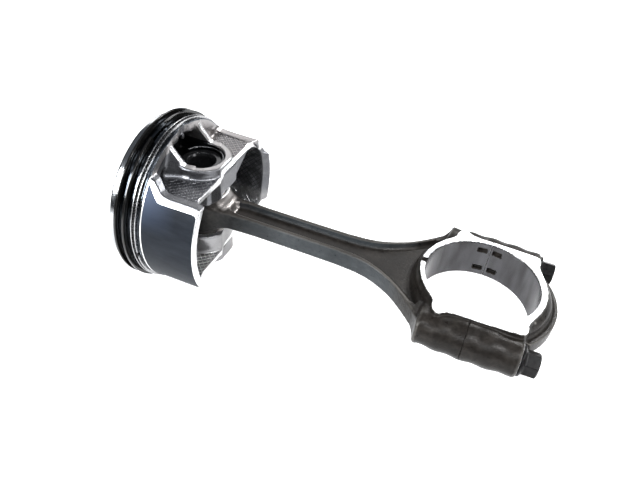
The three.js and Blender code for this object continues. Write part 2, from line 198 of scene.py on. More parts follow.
def relaxed(verts, quads):
    """Moves each vertex halfway to the mean of its neighbours."""
    total, count = np.zeros_like(verts), np.zeros(len(verts))
    for a in range(4):
        i, j = quads[:, a], quads[:, (a + 1) % 4]
        for here, there in ((i, j), (j, i)):
            for k in range(3):
                total[:, k] += np.bincount(here, verts[there, k], len(verts))
            count += np.bincount(here, minlength=len(verts))
    return verts + 0.5 * (total / np.maximum(count, 1)[:, None] - verts)


def gradient(distance, points):
    """Gradient from four samples at the corners of a small tetrahedron."""
    slope = np.zeros_like(points)
    for corner in ((1, -1, -1), (-1, -1, 1), (-1, 1, -1), (1, 1, 1)):
        d = np.array(corner, float)
        slope += d * distance(*(points + GRADIENT_STEP * d).T)[:, None]
    return slope / (4 * GRADIENT_STEP)


def projected(distance, points):
    for _ in range(PROJECT_ROUNDS):
        slope = gradient(distance, points)
        square = (slope * slope).sum(1)
        step = (distance(*points.T) / np.maximum(square, 0.05))[:, None] * slope
        length = np.linalg.norm(step, axis=1, keepdims=True)
        points = points - step * np.minimum(1, MAX_MOVE / np.maximum(length, 1e-9))
    return points


def mesh_surface(distance, gx, gy, gz):
    """Surface nets over an uneven grid. Returns vertices, normals and quads."""
    values = distance(gx[:, None, None], gy[None, :, None], gz[None, None, :])
    values = values.astype(np.float32)
    values[values == 0] = 1e-5
    inside = values < 0
    verts, ids = net_vertices(values, inside, (gx, gy, gz))
    quads = net_quads(inside, ids)
    verts = projected(distance, relaxed(verts, quads))
    normals = gradient(distance, verts)
    normals /= np.maximum(np.linalg.norm(normals, axis=1, keepdims=True), 1e-9)
    return verts, normals, quads


def mesh_parts(parts, *grid):
    """Meshes a function that returns (distance, part distances), and adds the latter."""
    verts, normals, quads = mesh_surface(lambda *point: parts(*point)[0], *grid)
    return verts, normals, quads, parts(*verts.T)[1]


def add_object(name, data):
    ob = bpy.data.objects.new(name, data)
    bpy.context.scene.collection.objects.link(ob)
    return ob


def make(node, body, verts, faces, normals=None, attrs=None):
    """A mesh object that rides on its body and stands for its CAD node."""
    name = node + "_visual"
    mesh = bpy.data.meshes.new(name)
    count, sides = faces.shape
    mesh.vertices.add(len(verts))
    mesh.vertices.foreach_set("co", to_model(verts).astype(np.float32).ravel())
    mesh.loops.add(count * sides)
    mesh.loops.foreach_set("vertex_index", faces.astype(np.int32).ravel())
    mesh.polygons.add(count)
    mesh.polygons.foreach_set("loop_start", np.arange(0, count * sides, sides, dtype=np.int32))
    mesh.polygons.foreach_set("loop_total", np.full(count, sides, np.int32))
    mesh.update(calc_edges=True)
    mesh.validate()
    mesh.polygons.foreach_set("use_smooth", np.full(len(mesh.polygons), True))
    place = mesh.attributes.new("pin_mm", "FLOAT_VECTOR", "POINT")
    place.data.foreach_set("vector", np.asarray(verts, np.float32).ravel())
    for key, values in (attrs or {}).items():
        attribute = mesh.attributes.new(key, "FLOAT", "POINT")
        attribute.data.foreach_set("value", np.asarray(values, np.float32))
    if normals is not None:
        turned = (normals @ PIN_TO_MODEL.T).astype(np.float32)
        mesh.normals_split_custom_set_from_vertices(turned)
    ob = add_object(name, mesh)
    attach(ob, body)
    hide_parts(node)
    return ob


# ------------------------------------------------------------------ piston
CROWN_X, SKIRT_X, WALL_X = -28.0, 20.4, 14.8    # crown face, lower edges of skirt and walls
LAND_R, SKIRT_R, GROOVE_R = 43.4, 43.8, 39.6
BOSS_R, BOSS_INNER_Z, BOSS_Z = 15.6, 11.6, 30.4   # pin boss radius and its two faces
LEG_BEND_X = -1.3        # above this the legs spread in Z
CIRCLIP_Z = 28.4
POCKET_R = 38.6          # limit of the pockets beside the bosses, from the piston axis
VALVE_RECESSES = ((20, 19), (20, -19), (-20, 17), (-20, -17))   # round crown recesses, y, z

# side edges of the skirts: x, |z|
FLARE = [(-12.5, -60), (-12.5, 32.6), (-8.5, 31.0), (-6.5, 30.6), (-4.0, 29.0), (-1.6, 27.2)]
NEAR_EDGE = FLARE + [
    (1.2, 26.2), (4.0, 25.9), (16.5, 25.9), (19.3, 25.7), (25, 24.6), (25, -60)]
FAR_EDGE = [
    (-12.5, -60), (-12.5, 29.8), (-9.5, 28.2), (-7.0, 26.6), (-4.0, 25.5), (1.2, 25.15),
    (14.3, 25.0), (14.7, 19.6), (16.2, 16.4), (18.6, 15.4), (18.6, -60)]
# outlines of the skirt coating: x, |z|
COAT_NEAR = [
    (-8.9, -60), (-8.9, 29.5), (-5.4, 26.3), (-1.9, 23.25), (2.0, 23.1), (17.0, 23.2),
    (18.4, 22.9), (19.3, 22.0), (19.35, -60)]
COAT_FAR = [
    (-8.6, -60), (-8.6, 28.2), (-5.9, 26.2), (-2.7, 23.9), (-0.4, 22.9), (2.0, 22.4),
    (11.7, 22.2), (12.3, 18.4), (14.6, 14.3), (17.4, 13.0), (17.6, -60)]
# hollow under the crown: x, radius
CAVITY = [
    (-21.5, -5), (-21.5, 23), (-20.4, 28.6), (-17.2, 33.0), (-12.6, 35.4), (-5, 36.4),
    (60, 37), (60, -5)]
# lower edge of the box walls and boss feet, seen along the pin: x, y
TRIM = [
    (-40, -60), (SKIRT_X - 2.0, -60), (SKIRT_X - 2.4, -35.2), (WALL_X + 1.1, -30.0),
    (WALL_X, -27.2), (WALL_X, -7.0), (12.2, -1.0), (11.5, 3.5), (11.4, 29.4), (12.4, 33.0),
    (14.2, 36.6), (14.3, 60), (-40, 60)]
# legs from the bosses up to the belt: x, |z|
LEG = [(-24, 0), (3, 0), (3, BOSS_Z), (LEG_BEND_X, BOSS_Z), (BELT_X - 0.3, 40.2), (-24, 40.2)]
# outside of the piston: x, radius
OUTSIDE_X, OUTSIDE_R = np.array([
    (-40, 43.1), (-22.3, 43.1), (-22.2, LAND_R), (-10.6, LAND_R), (-9.9, SKIRT_R),
    (30.0, SKIRT_R)]).T


def piston_skirt(x, y, az, r):
    edge = np.where(y < 0, polygon(x, az, NEAR_EDGE), polygon(x, az, FAR_EDGE))
    skirt = common(common(SKIRT_INNER_R - r, x - SKIRT_X, 0.7), edge, 0.5)
    skirt = np.maximum(skirt, -14 - x)
    # the inside of the far skirt opens out in a cone at its lower edge
    cone = np.where(y > 0, (SKIRT_INNER_R + (x - 15.6) * 0.70 - r) * 0.82, -5.0)
    return common(skirt, cone, 0.3), edge


def piston_walls(x, y, z, r, pin_r):
    """The two flat box walls, with their bosses, legs and feet."""
    ay, az = np.abs(y), np.abs(z)
    slab = band(az, 23.3, 1.7)
    boss = common(common(pin_r - BOSS_R, az - BOSS_Z, 1.2), BOSS_INNER_Z - az, 0.8)
    # the flanks of the legs lean outwards below the top edge
    top_z = BOSS_Z + 1.035 * np.clip(LEG_BEND_X - x, 0, 8.7)
    half_width = 14.5 + 0.45 * np.clip(top_z - az - 0.4, 0, 12)
    leg = common(polygon(x, az, LEG), (ay - half_width) * 0.91, 0.8)
    leg = common(leg, BOSS_INNER_Z - az, 0.8)
    wall = join(slab, join(boss, leg, 1.5), 3.0)
    # the foot of the boss stands below the wall and leans outwards to the boss face
    trim = polygon(x, y, TRIM)
    lip = (x - np.minimum(11.7 + 0.48 * (az - 24.6), 14.4)) * 0.9
    lip_zone = np.maximum(np.maximum(lip, 24.6 - az), pin_r - 15.8)
    wall = common(wall, np.minimum(trim, lip_zone), 0.5)
    # boss feet on the inner side: square at the front, round at the rear
    front = common(common(ay - 14.6, x - 13.0, 3.0),
                   common(BOSS_INNER_Z - az, az - 22.5, 1.0), 1.0)
    rear = common(common(pin_r - BOSS_R, x - 14.0, 3.0),
                  common(BOSS_INNER_Z - az, az - 22.5, 3.0), 3.0)
    foot = np.maximum(np.where(z > 0, front, rear), -3 - x)
    wall = join(wall, foot, 2.2)
    # inside, the front wall thickens towards the boss
    wedge = common(((21.6 - az) - 0.65 * (30.0 - ay)) * 0.84, az - 23.0, 0.6)
    wedge = common(common(wedge, x - 11.4, 1.2), 11.9 - az, 0.8)
    wedge = np.where(z > 0, np.maximum(wedge, -3 - x), 5.0)
    wall = join(wall, wedge, 1.2)
    return np.maximum(wall, r - 43.0), leg, trim, lip


def piston_envelope(x, r):
    """The turned outside, with crown and skirt ends and ring grooves."""
    outside = np.interp(x, OUTSIDE_X, OUTSIDE_R).astype(r.dtype)
    envelope = common(r - outside, CROWN_X - x, 1.4)
    envelope = common(envelope, x - SKIRT_X, 0.9)
    for a, b in (TOP_GROOVE, SECOND_GROOVE, OIL_GROOVE):
        groove = np.maximum(band(x, (a + b) / 2, (b - a) / 2), GROOVE_R - r)
        envelope = cut(envelope, groove, 0.16)
    return envelope


def piston_parts(x, y, z):
    ay, az = np.abs(y), np.abs(z)
    r = radial(y, z)
    pin_r = radial(x, y)
    head = cut(x - BELT_X, polygon(x, r, CAVITY), 0.5)
    skirt, edge = piston_skirt(x, y, az, r)
    wall, leg, trim, lip = piston_walls(x, y, z, r, pin_r)
    envelope = piston_envelope(x, r)
    out = common(join(join(head, skirt, 1.6), wall, 1.8), envelope, 0.3)

    bore = pin_r - PIN_BORE_R
    mouth = np.maximum(bevel(bore, BOSS_Z - az, 1.1), between(az, 28.0, 30.5))
    # a recess above the bore, and a narrower notch through the boss face
    pocket = common(common(ay - PIN_BORE_R, band(x, -9.75, 9.75), 1.6),
                    common(23.5 - az, r - POCKET_R, 1.2), 1.6)
    notch = common(common(ay - PIN_BORE_R, band(x, -4.85, 4.85), 1.0), 30.0 - az, 1.2)
    relief = np.minimum(pocket, notch)
    out = cut(out, bore, 0.3)
    out = cut(out, mouth, 0.2)
    out = cut(out, relief, 0.6)
    # a thin rib at the outer end of each pocket
    rib = common(common(ay - 0.8, band(r, 38.0, 1.3), 0.4), band(x, -15, 5.0), 0.4)
    rib = np.maximum(rib, 20 - az)
    out = join(out, rib, 0.6)
    circlip_groove = np.maximum(pin_r - 12.1, band(az, CIRCLIP_Z, 0.95))
    out = cut(out, circlip_groove, 0.2)
    for centre_y, centre_z in VALVE_RECESSES:
        recess = common(radial(y - centre_y, z - centre_z) - 13.5, x - (CROWN_X + 1.3), 0.8)
        out = cut(out, recess, 0.5)
    return out, SimpleNamespace(envelope=envelope, trim=trim, pin_r=pin_r, r=r, ay=ay, az=az,
                                leg=leg, relief=relief, edge=edge, lip=lip)


def piston_finishes(verts, normals, p):
    """Masks of the surface finishes, of painted highlights on some edges and of painted shade in
    the pockets and the pin bore. Distance-like masks are positive inside their zone.
    """
    x, y, z = verts.T
    az, ay, r = p.az, p.ay, p.r
    nx, nz = normals[:, 0], np.abs(normals[:, 2])

    def both(*conditions):
        return np.minimum.reduce(conditions)
    machined = [
        # ring belt and crown
        both((p.envelope + 0.2) * 2, -9.3 - x),
        # skirt outside
        both((r - 43.5) * 3, x + 10.2, np.where(y < 0, -0.45 - p.edge, 1.0)),
        # lower rims of the walls
        both((nx - 0.55) * 2, 0.8 - np.abs(p.trim), az - 22.3, 25.4 - az),
        # edge of the boss foot: a painted highlight, coloured as bright turned metal
        both(0.40 - np.abs(p.lip), az - 29.8, x - 9.0, 12.0 - ay),
        # outer ends of the wall rims
        both((nx - 0.2) * 2, 0.9 - np.abs(p.trim), r - 36.0, 26.2 - az),
        # lower rim of the near skirt
        both((nx - 0.55) * 2, x - 17.0, r - 39.4, -y),
        # lower edge of the belt
        both((nx - 0.15) * 3, 0.9 - np.abs(x - BELT_X), r - 43.15),
        # leg ends: a painted highlight along their edges, coloured as bright turned metal
        both((nz - 0.42) * 3, (nx - 0.3) * 3, ay - 12.2, 14.75 - ay, -0.3 - x,
             0.75 - np.abs(p.leg), az - 30.0),
    ]
    mach = np.clip(np.maximum.reduce(machined), -1, 1)
    # boss faces, and the underside of the belt
    face = np.maximum(
        both((nz - 0.8) * 4, az - 29.9, x + 1.2, p.pin_r - PIN_BORE_R),
        both((nx - 0.6) * 3, 1.2 - np.abs(x - BELT_X), r - 39.6))
    # painted shade: the pockets above the pin bore and the inside of the bore are marked to be
    # darkened
    dark = np.maximum(both(0.6 - p.relief, 31.5 - az), both(12.4 - p.pin_r, 30.0 - az))
    dark = np.where(mach > 0.05, -1, dark)
    coat = np.where(y < 0, polygon(x, az, COAT_NEAR), polygon(x, az, COAT_FAR))
    coat = np.where(r > 43.5, coat, 3.0)
    # diamond pattern: outer faces of both walls, inner face of the rear wall
    off_boss = p.pin_r > 17.0
    waffle = (nz > 0.9) & (np.abs(az - 25.0) < 0.35) & off_boss & (x > -7)
    waffle |= (normals[:, 2] > 0.9) & (np.abs(z + 21.6) < 0.4) & off_boss & (x > -4)
    return dict(
        mach=mach, coat=coat, waffle=waffle,
        inner=(r < 41) & (r > 39.5) & (x > -4) & (x < 15) & (ay > 30),
        ends=np.abs(nx) > 0.7,
        dark=np.clip(dark, -1, 1), ringface=np.clip(face, -1, 1))


def build_piston():
    cell = 0.6
    belt_cell = 0.26
    boss_cell = cell * 0.55
    verts, normals, quads, parts = mesh_parts(
        piston_parts,
        spaced((-29.5, -9.0, belt_cell), (-9.0, 22.0, cell * 0.92)),
        spaced((-45.2, 45.2, cell)),
        spaced((-45.2, -31.6, cell), (-31.6, -26.4, boss_cell), (-26.4, 26.4, cell),
               (26.4, 31.6, boss_cell), (31.6, 45.2, cell)))
    return make("piston", "piston_body", verts, quads, normals,
                piston_finishes(verts, normals, parts))


# ------------------------------------------------------------------ connecting rod and cap
BIG_BORE_R, THRUST_Z = 27.0, 10.7     # big-end bore and machined side faces
EYE_BORE_R, EYE_Z = 12.3, 10.9        # small-end bore and side faces
CAP_SEAT_X = CRANK_X + 24.6           # bolt seats in the cap

# shank: x, half width
SHANK_X, SHANK_WIDTH = np.array([
    (-30, 11.4), (6, 11.2), (13, 9.6), (20, 8.2), (35, 7.5), (65, 7.6), (80, 7.8), (90, 8.6),
    (96, 9.8), (100, 11.2), (105, 13.6), (110, 16.5), (114, 19.6), (118, 23.2), (122, 27.2),
    (125, 30.4), (128.4, 35.2), (129.5, 36.6), (136, 31.0), (150.0, 20.0)]).T
# pocket in each side of the shank: x, |y|
CHANNEL = [
    (17.5, -9), (17.5, 2.6), (19.4, 4.4), (24, 5.25), (60, 5.35), (80, 5.5), (88, 5.9),
    (94, 7.0), (99, 8.7), (104, 11.1), (109, 14.0), (114, 17.6), (118.5, 21.4), (122.2, 24.6),
    (125.0, 25.4), (125.8, 23.6), (123.4, 18.5), (121.2, 13), (120.0, 8), (119.4, 0),
    (119.4, -9)]
# thrust face: x from the crankpin, |y|
THRUST_FACE = [(CRANK_X + dx, half) for dx, half in [
    (-29.9, -4), (-29.7, 2.7), (-28.6, 8), (-26.2, 14.2), (-22.6, 19.8), (-19.2, 23.6),
    (-18.0, 25.8), (-17.9, 28.4), (-16.9, 30.9), (-15.2, 32.5), (-13.5, 32.3), (-12.2, 31.1),
    (-10.0, 29.9), (-6.5, 29.3), (2.2, 29.2), (9.2, 29.0), (16.2, 28.6), (21.6, 28.3),
    (23.4, 27.6), (24.3, 26.0), (24.5, 23.2), (24.2, 21.6), (24.7, 19.4), (26.0, 16.2),
    (28.4, 10.6), (29.8, 5.0), (30.2, 0), (30.2, -4)]]


def shank_distance(x, ay):
    width = np.interp(x, SHANK_X, SHANK_WIDTH)
    middles = (SHANK_X[1:] + SHANK_X[:-1]) / 2
    slope = np.interp(x, middles, np.diff(SHANK_WIDTH) / np.diff(SHANK_X))
    return ((ay - width) / np.sqrt(1 + slope * slope)).astype(ay.dtype)


def big_end(x, y, z):
    """Both halves of the big end in one piece, before the split and the bore."""
    ay, az = np.abs(y), np.abs(z)
    crank_r = radial(x - CRANK_X, y)
    face = common(polygon(x, ay, THRUST_FACE), az - THRUST_Z, 0.35)
    collar = common(crank_r - 31.2, az - 8.6, 1.6)
    # bolt bosses taper to both ends, with a slight waviness
    along = np.clip((x - CRANK_X) / 23.0, -1, 1)
    boss_r = 8.75 - 0.75 * along * along - 0.25 * np.cos((x - CRANK_X - 6) * 0.55)
    tube = radial(ay - BOLT_Y, z) - boss_r
    boss = common(tube, between(x, CRANK_X - 21.6, CAP_SEAT_X), 1.8)
    fill = common(common(ay - BOLT_Y, az - 7.5, 2.0),
                  between(x, CRANK_X - 20.6, CRANK_X + 23.6), 2.0)
    fill = common(fill, 16.0 - ay, 1.0)
    body = join(join(collar, fill, 3.0), boss, 2.2)
    return join(body, face, 1.1), crank_r


def bearing_slots(x, y, z):
    """Four small slots across the parting plane, on the far side of the bore."""
    out = None
    for centre_x in (CRANK_X - 3.7, CRANK_X + 3.7):
        for centre_z in (-5.6, 5.6):
            slot = common(band(x, centre_x, 2.3), band(z, centre_z, 1.25), 0.8)
            slot = common(slot, band(y, BIG_BORE_R, 1.5), 0.8)
            out = slot if out is None else np.minimum(out, slot)
    return out


def bored(body, wall, face, blend, bevel_size):
    return cut(cut(body, wall, blend), bevel(wall, face, bevel_size), 0.2)


def rod_parts(x, y, z):
    ay, az = np.abs(y), np.abs(z)
    pin_r = radial(x, y)
    # the flanks lean in a little from the mid plane
    beam = common(shank_distance(x, ay) + az * 0.035 - 0.1, az - 5.0, 1.3)
    beam = np.maximum(beam, between(x, -6, CRANK_X - 14))
    pocket = common(polygon(x, ay, CHANNEL) + (5.0 - az) * 0.34, 1.55 - az, 2.6)
    beam = cut(beam, pocket, 0.9)
    eye = common(pin_r - 14.6 + 0.035 * az, az - EYE_Z, 0.7)
    body = common(join(beam, eye, 6.5), az - EYE_Z, 0.5)
    end, crank_r = big_end(x, y, z)
    body = join(body, end, 3.4)
    # nothing stands above the thrust faces near the big end
    body = common(body, np.minimum(az - THRUST_Z, x - (CRANK_X - 60)), 0.01)
    out = common(body, x - (CRANK_X - 0.02), 0.08)
    out = bored(out, crank_r - BIG_BORE_R, THRUST_Z - az, 0.3, 0.7)
    out = bored(out, pin_r - EYE_BORE_R, EYE_Z - az, 0.25, 0.9)
    bolt_hole = common(radial(ay - BOLT_Y, z) - 4.2, (CRANK_X - 19.0) - x, 0.4)
    out = cut(out, bolt_hole, 0.2)
    face_notch = common(common(ay - 1.7, 9.3 - az, 0.4), band(x, CRANK_X - 27.5, 5.5), 0.4)
    out = cut(out, face_notch, 0.3)
    slots = bearing_slots(x, y, z)
    return cut(out, slots, 0.3), SimpleNamespace(az=az, crank_r=crank_r, pin_r=pin_r, slots=slots)


def cap_parts(x, y, z):
    ay, az = np.abs(y), np.abs(z)
    end, crank_r = big_end(x, y, z)
    strap = common(common(crank_r - 33.3, az - 7.4, 2.0), CRANK_X + 4 - x, 1.0)
    rib = common(common(crank_r - 36.9, az - 3.4, 0.7),
                 np.maximum(CRANK_X + 6 - x, ay - 28.0), 2.0)
    body = join(join(end, strap, 2.2), rib, 2.6)
    body = common(body, az - THRUST_Z, 0.2)
    out = common(body, (CRANK_X + 0.02) - x, 0.08)
    bolt_r = radial(ay - BOLT_Y, z)
    seat = common(bolt_r - 7.9, CAP_SEAT_X - x, 0.4)
    out = cut(out, seat, 0.4)
    out = bored(out, crank_r - BIG_BORE_R, THRUST_Z - az, 0.3, 0.7)
    out = cut(out, bolt_r - 4.4, 0.2)
    slots = bearing_slots(x, y, z)
    return cut(out, slots, 0.3), SimpleNamespace(az=az, crank_r=crank_r, seat=seat, slots=slots)


def forging(node, parts, gx, gy, gz, also_machined):
    verts, normals, quads, p = mesh_parts(parts, gx, gy, gz)
    x, y, _ = verts.T
    mach = (p.az > 10.45) & (np.abs(normals[:, 2]) > 0.75) & (x > 60)
    mach |= (p.crank_r < 27.9) & (x > 100)
    # the bearing slots keep the dark forged colour: painted shade in these recesses
    mach &= p.slots > 0.35
    notch_floor = (np.abs(y) < 2.0) & (x > CRANK_X - 34) & (x < CRANK_X - 22)
    notch_floor &= (p.az > 9.0) & (p.az < 10.4)
    mach &= ~notch_floor
    mach |= also_machined(x, normals[:, 0], p)
    attrs = dict(flank=np.abs(normals[:, 1]), toward=normals[:, 0], mach=mach,
                 bore=(p.crank_r < 27.25) & (x > 100))
    return make(node, "rod_body", verts, quads, normals, attrs)


def eye_faces(x, nx, p):
    return (p.az > 10.6) & (x < 30) | (p.pin_r < 13.3)


def bolt_seats(x, nx, p):
    return (np.abs(p.seat) < 0.25) & (nx > 0.8)


def build_rod_and_cap():
    cell = 0.52
    rod_x = spaced((-16.0, 20.0, cell), (20.0, 95.0, cell * 1.5), (95.0, 151.0, cell))
    cap_x = spaced((149.2, 188.2, cell))
    gy = spaced((-43.0, 43.0, cell * 0.97))
    gz = spaced((-11.8, 11.8, cell * 0.86))
    rod = forging("connecting_rod", rod_parts, rod_x, gy, gz, eye_faces)
    cap = forging("big_end_cap", cap_parts, cap_x, gy, gz, bolt_seats)
    return rod, cap


# ------------------------------------------------------------------ bolts
BOLT_SEAT_X = CRANK_X + 24.65


def bolt_distance(x, y, z):
    """A flanged hexagon bolt on the X axis."""
    seat = BOLT_SEAT_X
    r = radial(y, z)
    shank = common(common(r - 4.0, (CRANK_X - 18.4) - x, 0.8), x - seat - 1, 0.2)
    flange = common(common(r - 7.2, seat - x, 0.3), (x - seat - 1.3) + (r - 6.4) * 0.42, 0.5)
    flats = [np.abs(y * math.cos(a) + z * math.sin(a)) - 5.1
             for a in (math.radians(60 * k) for k in range(3))]
    hexagon = common(common(flats[0], flats[1], 0.25), flats[2], 0.25)
    head = common(hexagon, band(x, seat + 4.2, 3.9), 0.35)
    head = common(head, (x - (seat + 8.1)) + (r - 4.7) * 0.5, 0.35)
    out = join(join(shank, flange, 0.3), head, 0.7)
    dish = common(r - 3.1, (seat + 7.55) - x, 0.4)
    return cut(out, dish, 0.4)


def build_bolts():
    cell = 0.34
    gx = spaced((CRANK_X - 19.2, CRANK_X + 22.0, cell * 1.6),
                (CRANK_X + 22.0, CRANK_X + 33.4, cell * 0.8))
    across = spaced((-8.0, 8.0, cell))
    verts, normals, quads = mesh_surface(bolt_distance, gx, across, across)
    head = verts[:, 0] > CRANK_X + 24.5
    return [make(node, "rod_body", verts + np.array([0, bolt_y, 0]), quads,
                 normals, dict(head=head))
            for node, bolt_y in (("cap_bolt_near", -BOLT_Y), ("cap_bolt_far", BOLT_Y))]


# ------------------------------------------------------------------ swept and turned pieces
def tube_faces(sections, sides, closed=False):
    """Quads between successive sections, each a loop of vertices."""
    spans = sections if closed else sections - 1
    i, k = np.meshgrid(np.arange(spans), np.arange(sides), indexing="ij")
    here, there = i * sides, (i + 1) % sections * sides
    after = (k + 1) % sides
    return np.stack([here + k, here + after, there + after, there + k], -1).reshape(-1, 4)


def with_ends(verts, faces, sides):
    """Closes an open tube with fans of quads about a centre vertex at each end."""
    for start, order in ((0, 1), (len(verts) - sides, -1)):
        centre = len(verts)
        verts = np.vstack([verts, verts[start:start + sides].mean(0)])
        fan = [(start + (k + 2) % sides, start + k + 1, start + k, centre)
               for k in range(0, sides, 2)]
        faces = np.vstack([faces, np.array(fan)[:, ::order]])
    return verts, faces


def outward(verts, faces):
    """Turns the faces over if the closed mesh is inside out."""
    a, b, c, d = (verts[faces[:, i]] for i in range(4))
    volume = (np.einsum("ij,ij->i", a, np.cross(b, c))
              + np.einsum("ij,ij->i", a, np.cross(c, d))).sum()
    return faces if volume > 0 else faces[:, ::-1]


def make_closed(node, body, verts, faces, sharp_deg):
    ob = make(node, body, verts, outward(verts, faces))
    ob.data.set_sharp_from_angle(angle=math.radians(sharp_deg))
    return ob


def rounded_rect(width, height, corner):
    steps = 3
    points = []
    w, h = width / 2 - corner, height / 2 - corner
    for cx, cy, start in ((w, h, 0), (-w, h, 90), (-w, -h, 180), (w, -h, 270)):
        for i in range(steps + 1):
            a = math.radians(start + 90 * i / steps)
            points.append((cx + corner * math.cos(a), cy + corner * math.sin(a)))
    return np.array(points)


def split_ring(node, body, centre_x, width, outer, inner, gap, gap_deg,
               corner=0.16, waves=0, sections=420):
    """A ring about X with a gap, given as an arc length, at an angle from +Z towards +Y."""
    half_gap = math.degrees(gap / 2 / outer)
    profile = rounded_rect(width, outer - inner, corner) + (centre_x, (outer + inner) / 2)
    angles = np.linspace(gap_deg + half_gap, gap_deg + 360 - half_gap, sections)
    angles = np.radians(angles)[:, None]
    # flat-topped waves along X
    shift = 0.5 * np.clip(1.7 * np.sin(waves * angles), -1, 1)
    x, r = profile.T
    verts = np.stack([x + shift, r * np.sin(angles), r * np.cos(angles)], -1).reshape(-1, 3)
    verts, faces = with_ends(verts, tube_faces(sections, len(profile)), len(profile))
    return make_closed(node, body, verts, faces, sharp_deg=40)


def filleted(points, radius):
    """Rounds the corners of a closed profile."""
    steps = 3
    out = []
    for i in range(len(points)):
        corner, before, after = (np.array(points[k % len(points)], float)
                                 for k in (i, i - 1, i + 1))
        back, on = before - corner, after - corner
        back_length, on_length = np.linalg.norm(back), np.linalg.norm(on)
        reach = min(radius, back_length * 0.4, on_length * 0.4)
        start, end = corner + back / back_length * reach, corner + on / on_length * reach
        for t in np.linspace(0, 1, steps + 1):
            out.append((1 - t) ** 2 * start + 2 * t * (1 - t) * corner + t * t * end)
    return np.array(out)


def turned_sleeve(node, body, points, fillet):
    """Turns a closed (z, radius) profile about the pin axis."""
    sections = 160
    z, r = filleted(points, fillet).T
    angles = (2 * math.pi * np.arange(sections) / sections)[:, None]
    verts = np.stack([r * np.cos(angles), r * np.sin(angles), z + 0 * angles], -1)
    faces = tube_faces(sections, len(z), closed=True)
    return make_closed(node, body, verts.reshape(-1, 3), faces, sharp_deg=40)


def circlip(node, centre_z):
    """An open ring of round wire with its gap towards the crown."""
    ring_r, wire_r, half_gap_deg = 10.95, 0.72, 18
    sides, spans = 12, 150
    angles = math.pi + np.radians(np.linspace(half_gap_deg, 360 - half_gap_deg, spans + 1))
    angles = angles[:, None]
    # the wire ends are rounded by two smaller sections
    wire = np.full((spans + 1, 1), wire_r)
    wire[[1, -2]] *= 0.93
    wire[[0, -1]] *= 0.72
    around = 2 * math.pi * np.arange(sides) / sides
    r = ring_r + wire * np.cos(around)
    z = centre_z + wire * np.sin(around)
    verts = np.stack([r * np.cos(angles), r * np.sin(angles), z], -1).reshape(-1, 3)
    verts, faces = with_ends(verts, tube_faces(spans + 1, sides), sides)
    return make_closed(node, "piston_body", verts, faces, sharp_deg=50)


RING_CLEARANCE = 0.06    # axial, at each side of a groove
RAIL_WIDTH = 0.56
RAIL_INSET = RING_CLEARANCE + RAIL_WIDTH / 2
EXPANDER_WAVES = 190


def build_rings():
    rings = [
        split_ring(node, body, sum(groove) / 2,
                   groove[1] - groove[0] - 2 * RING_CLEARANCE,
                   outer=46.1, inner=42.9, gap=12.2, gap_deg=gap_deg)
        for node, body, groove, gap_deg in (
            ("top_compression_ring", "top_ring_body", TOP_GROOVE, 150),
            ("second_compression_ring", "second_ring_body", SECOND_GROOVE, -12.5))]
    rails = [
        split_ring(node, node + "_body", centre_x, RAIL_WIDTH,
                   outer=44.7, inner=42.1, gap=3.0, gap_deg=gap_deg)
        for node, centre_x, gap_deg in (
            ("oil_rail_upper", OIL_GROOVE[0] + RAIL_INSET, 80),
            ("oil_rail_lower", OIL_GROOVE[1] - RAIL_INSET, -100))]
    expander = split_ring(
        "oil_ring_expander", "oil_expander_body", sum(OIL_GROOVE) / 2,
        width=0.34, outer=44.0, inner=41.5, gap=1.2, gap_deg=-160, corner=0.1,
        waves=EXPANDER_WAVES, sections=EXPANDER_WAVES * 10 + 1)
    return rings, rails, expander


def build_pin_and_bush():
    pin = turned_sleeve("gudgeon_pin", "pin_body", [
        (-27.2, 7.4), (-27.2, 10.4), (-26.6, 11.0), (26.6, 11.0),
        (27.2, 10.4), (27.2, 7.4), (25.6, 6.6), (-25.6, 6.6)], fillet=0.25)
    bush = turned_sleeve("small_end_bush", "rod_body", [
        (-10.6, PIN_BORE_R), (-10.6, 12.24), (10.6, 12.24), (10.6, PIN_BORE_R)], fillet=0.2)
    return pin, bush


